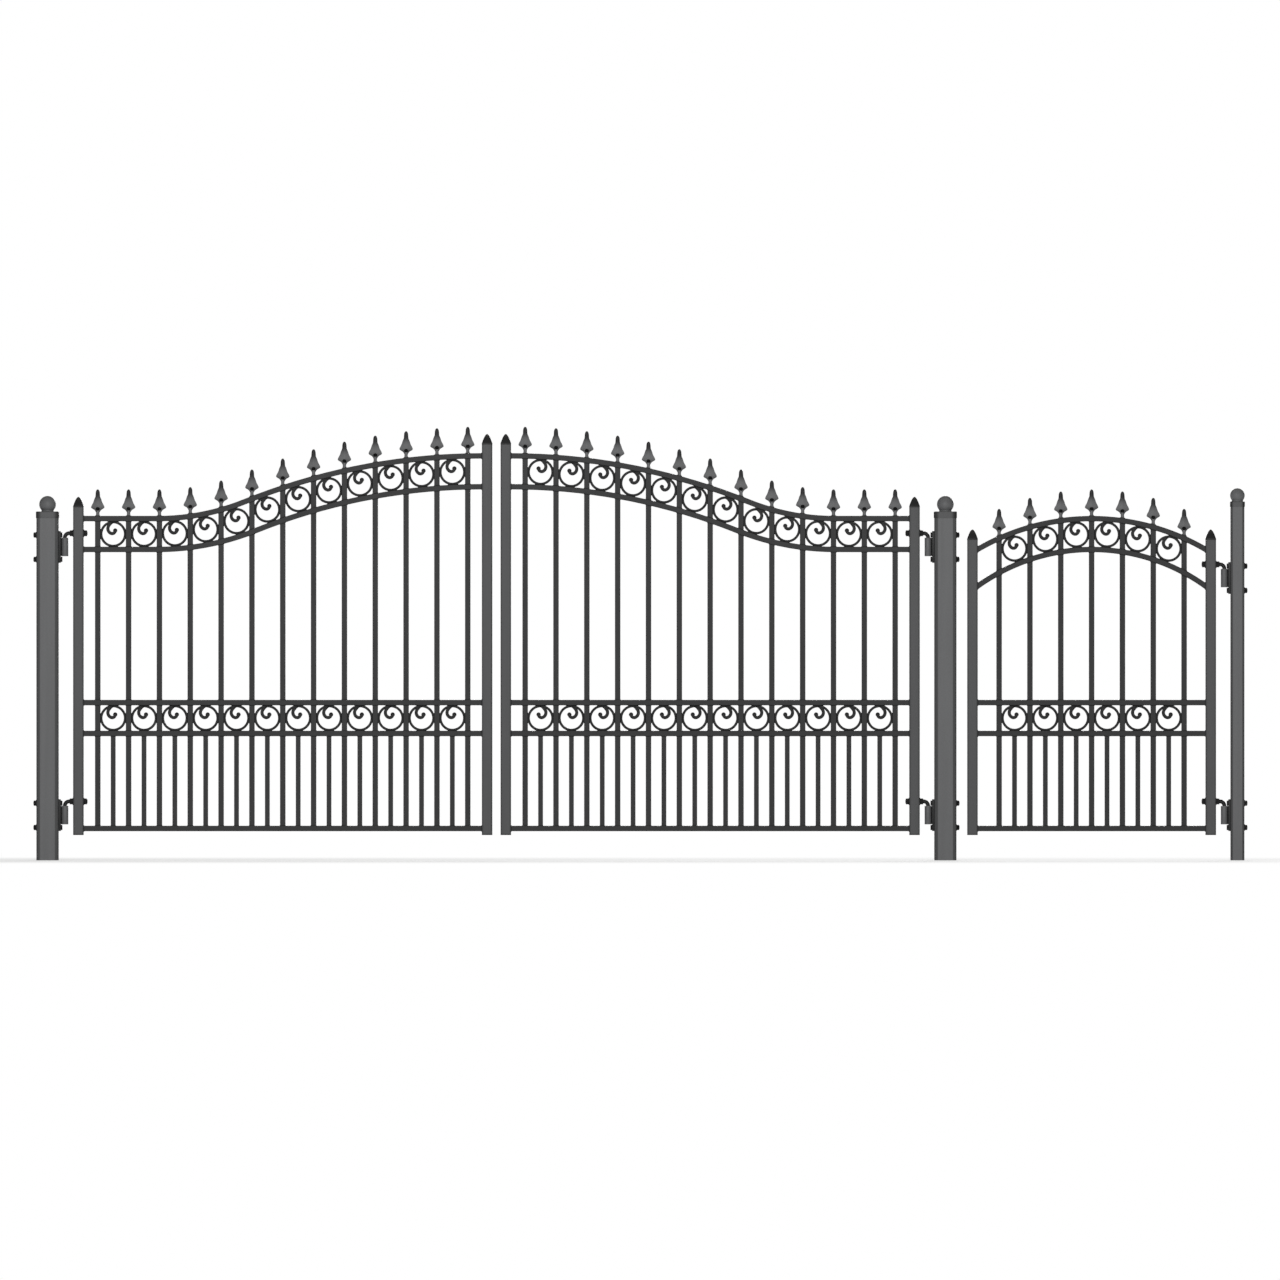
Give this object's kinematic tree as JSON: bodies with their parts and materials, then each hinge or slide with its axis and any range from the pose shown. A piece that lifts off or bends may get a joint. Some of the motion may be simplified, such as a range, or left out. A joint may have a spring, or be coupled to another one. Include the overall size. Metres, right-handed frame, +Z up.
{
  "type": "garden gate",
  "caption": "Ornamental steel garden gate set: swan-necked drive leaves and an arched walk gate with spearheads and ring scrolls, hinged on ball-capped square posts.",
  "frame": {"origin": "on the ground, midway between the two ends of the set, in the plane of the closed leaves", "axes": "+X along the gate line from the left post to the right post, +Y behind the gate (the side the leaves open to at positive joint values), +Z up"},
  "size_m": [5.5848, 0.1056, 1.9938],
  "materials": {
    "post_coating": "satin charcoal powder coat on square steel posts and their caps",
    "stile_coating": "satin charcoal powder coat on the square steel stiles",
    "bar_coating": "satin black powder coat on rails, pickets, dog bars and stile caps",
    "cast_ornament": "powder-coated casting with a slightly soft surface",
    "hinge_hardware": "near-black coated hinge steel and fasteners",
    "foot_plug": "black moulded plug"
  },
  "bodies": {
    "posts": {"left_hinge_brackets": "hinge_hardware", "left_post": "post_coating", "left_post_cap": "post_coating", "middle_hinge_brackets": "hinge_hardware", "middle_post": "post_coating", "middle_post_cap": "post_coating", "post_bolts": "hinge_hardware", "post_nuts": "hinge_hardware", "post_washers": "hinge_hardware", "right_hinge_brackets": "hinge_hardware", "right_post": "post_coating", "right_post_cap": "post_coating"},
    "left_leaf": {"left_arch_scrolls": "cast_ornament", "left_bottom_rail": "bar_coating", "left_dog_bars": "bar_coating", "left_hinge_rods": "hinge_hardware", "left_hinge_stile": "stile_coating", "left_lower_waist_rail": "bar_coating", "left_meeting_stile": "stile_coating", "left_pickets": "bar_coating", "left_rod_nuts": "hinge_hardware", "left_second_rail": "bar_coating", "left_spearheads": "cast_ornament", "left_stile_caps": "bar_coating", "left_stile_plugs": "foot_plug", "left_top_rail": "bar_coating", "left_upper_waist_rail": "bar_coating", "left_waist_scrolls": "cast_ornament"},
    "right_leaf": {"right_arch_scrolls": "cast_ornament", "right_bottom_rail": "bar_coating", "right_dog_bars": "bar_coating", "right_hinge_rods": "hinge_hardware", "right_hinge_stile": "stile_coating", "right_lower_waist_rail": "bar_coating", "right_meeting_stile": "stile_coating", "right_pickets": "bar_coating", "right_rod_nuts": "hinge_hardware", "right_second_rail": "bar_coating", "right_spearheads": "cast_ornament", "right_stile_caps": "bar_coating", "right_stile_plugs": "foot_plug", "right_top_rail": "bar_coating", "right_upper_waist_rail": "bar_coating", "right_waist_scrolls": "cast_ornament"},
    "walk_leaf": {"walk_arch_scrolls": "cast_ornament", "walk_bottom_rail": "bar_coating", "walk_dog_bars": "bar_coating", "walk_hinge_rods": "hinge_hardware", "walk_hinge_stile": "stile_coating", "walk_latch_stile": "stile_coating", "walk_lower_waist_rail": "bar_coating", "walk_pickets": "bar_coating", "walk_rod_nuts": "hinge_hardware", "walk_second_rail": "bar_coating", "walk_spearheads": "cast_ornament", "walk_stile_caps": "bar_coating", "walk_stile_plugs": "foot_plug", "walk_top_rail": "bar_coating", "walk_upper_waist_rail": "bar_coating", "walk_waist_scrolls": "cast_ornament"}
  },
  "joints": [
    {"name": "left_leaf_swing", "type": "hinge", "parent": "posts", "child": "left_leaf", "pos_m": [-2.64775, 0, 0.8], "axis": [0, 0, 1], "range_deg": [-90, 90]},
    {"name": "right_leaf_swing", "type": "hinge", "parent": "posts", "child": "right_leaf", "pos_m": [1.32325, 0, 0.8], "axis": [0, 0, -1], "range_deg": [-90, 90]},
    {"name": "walk_leaf_swing", "type": "hinge", "parent": "posts", "child": "walk_leaf", "pos_m": [2.68585, 0, 0.8], "axis": [0, 0, -1], "range_deg": [-90, 90]}
  ]
}
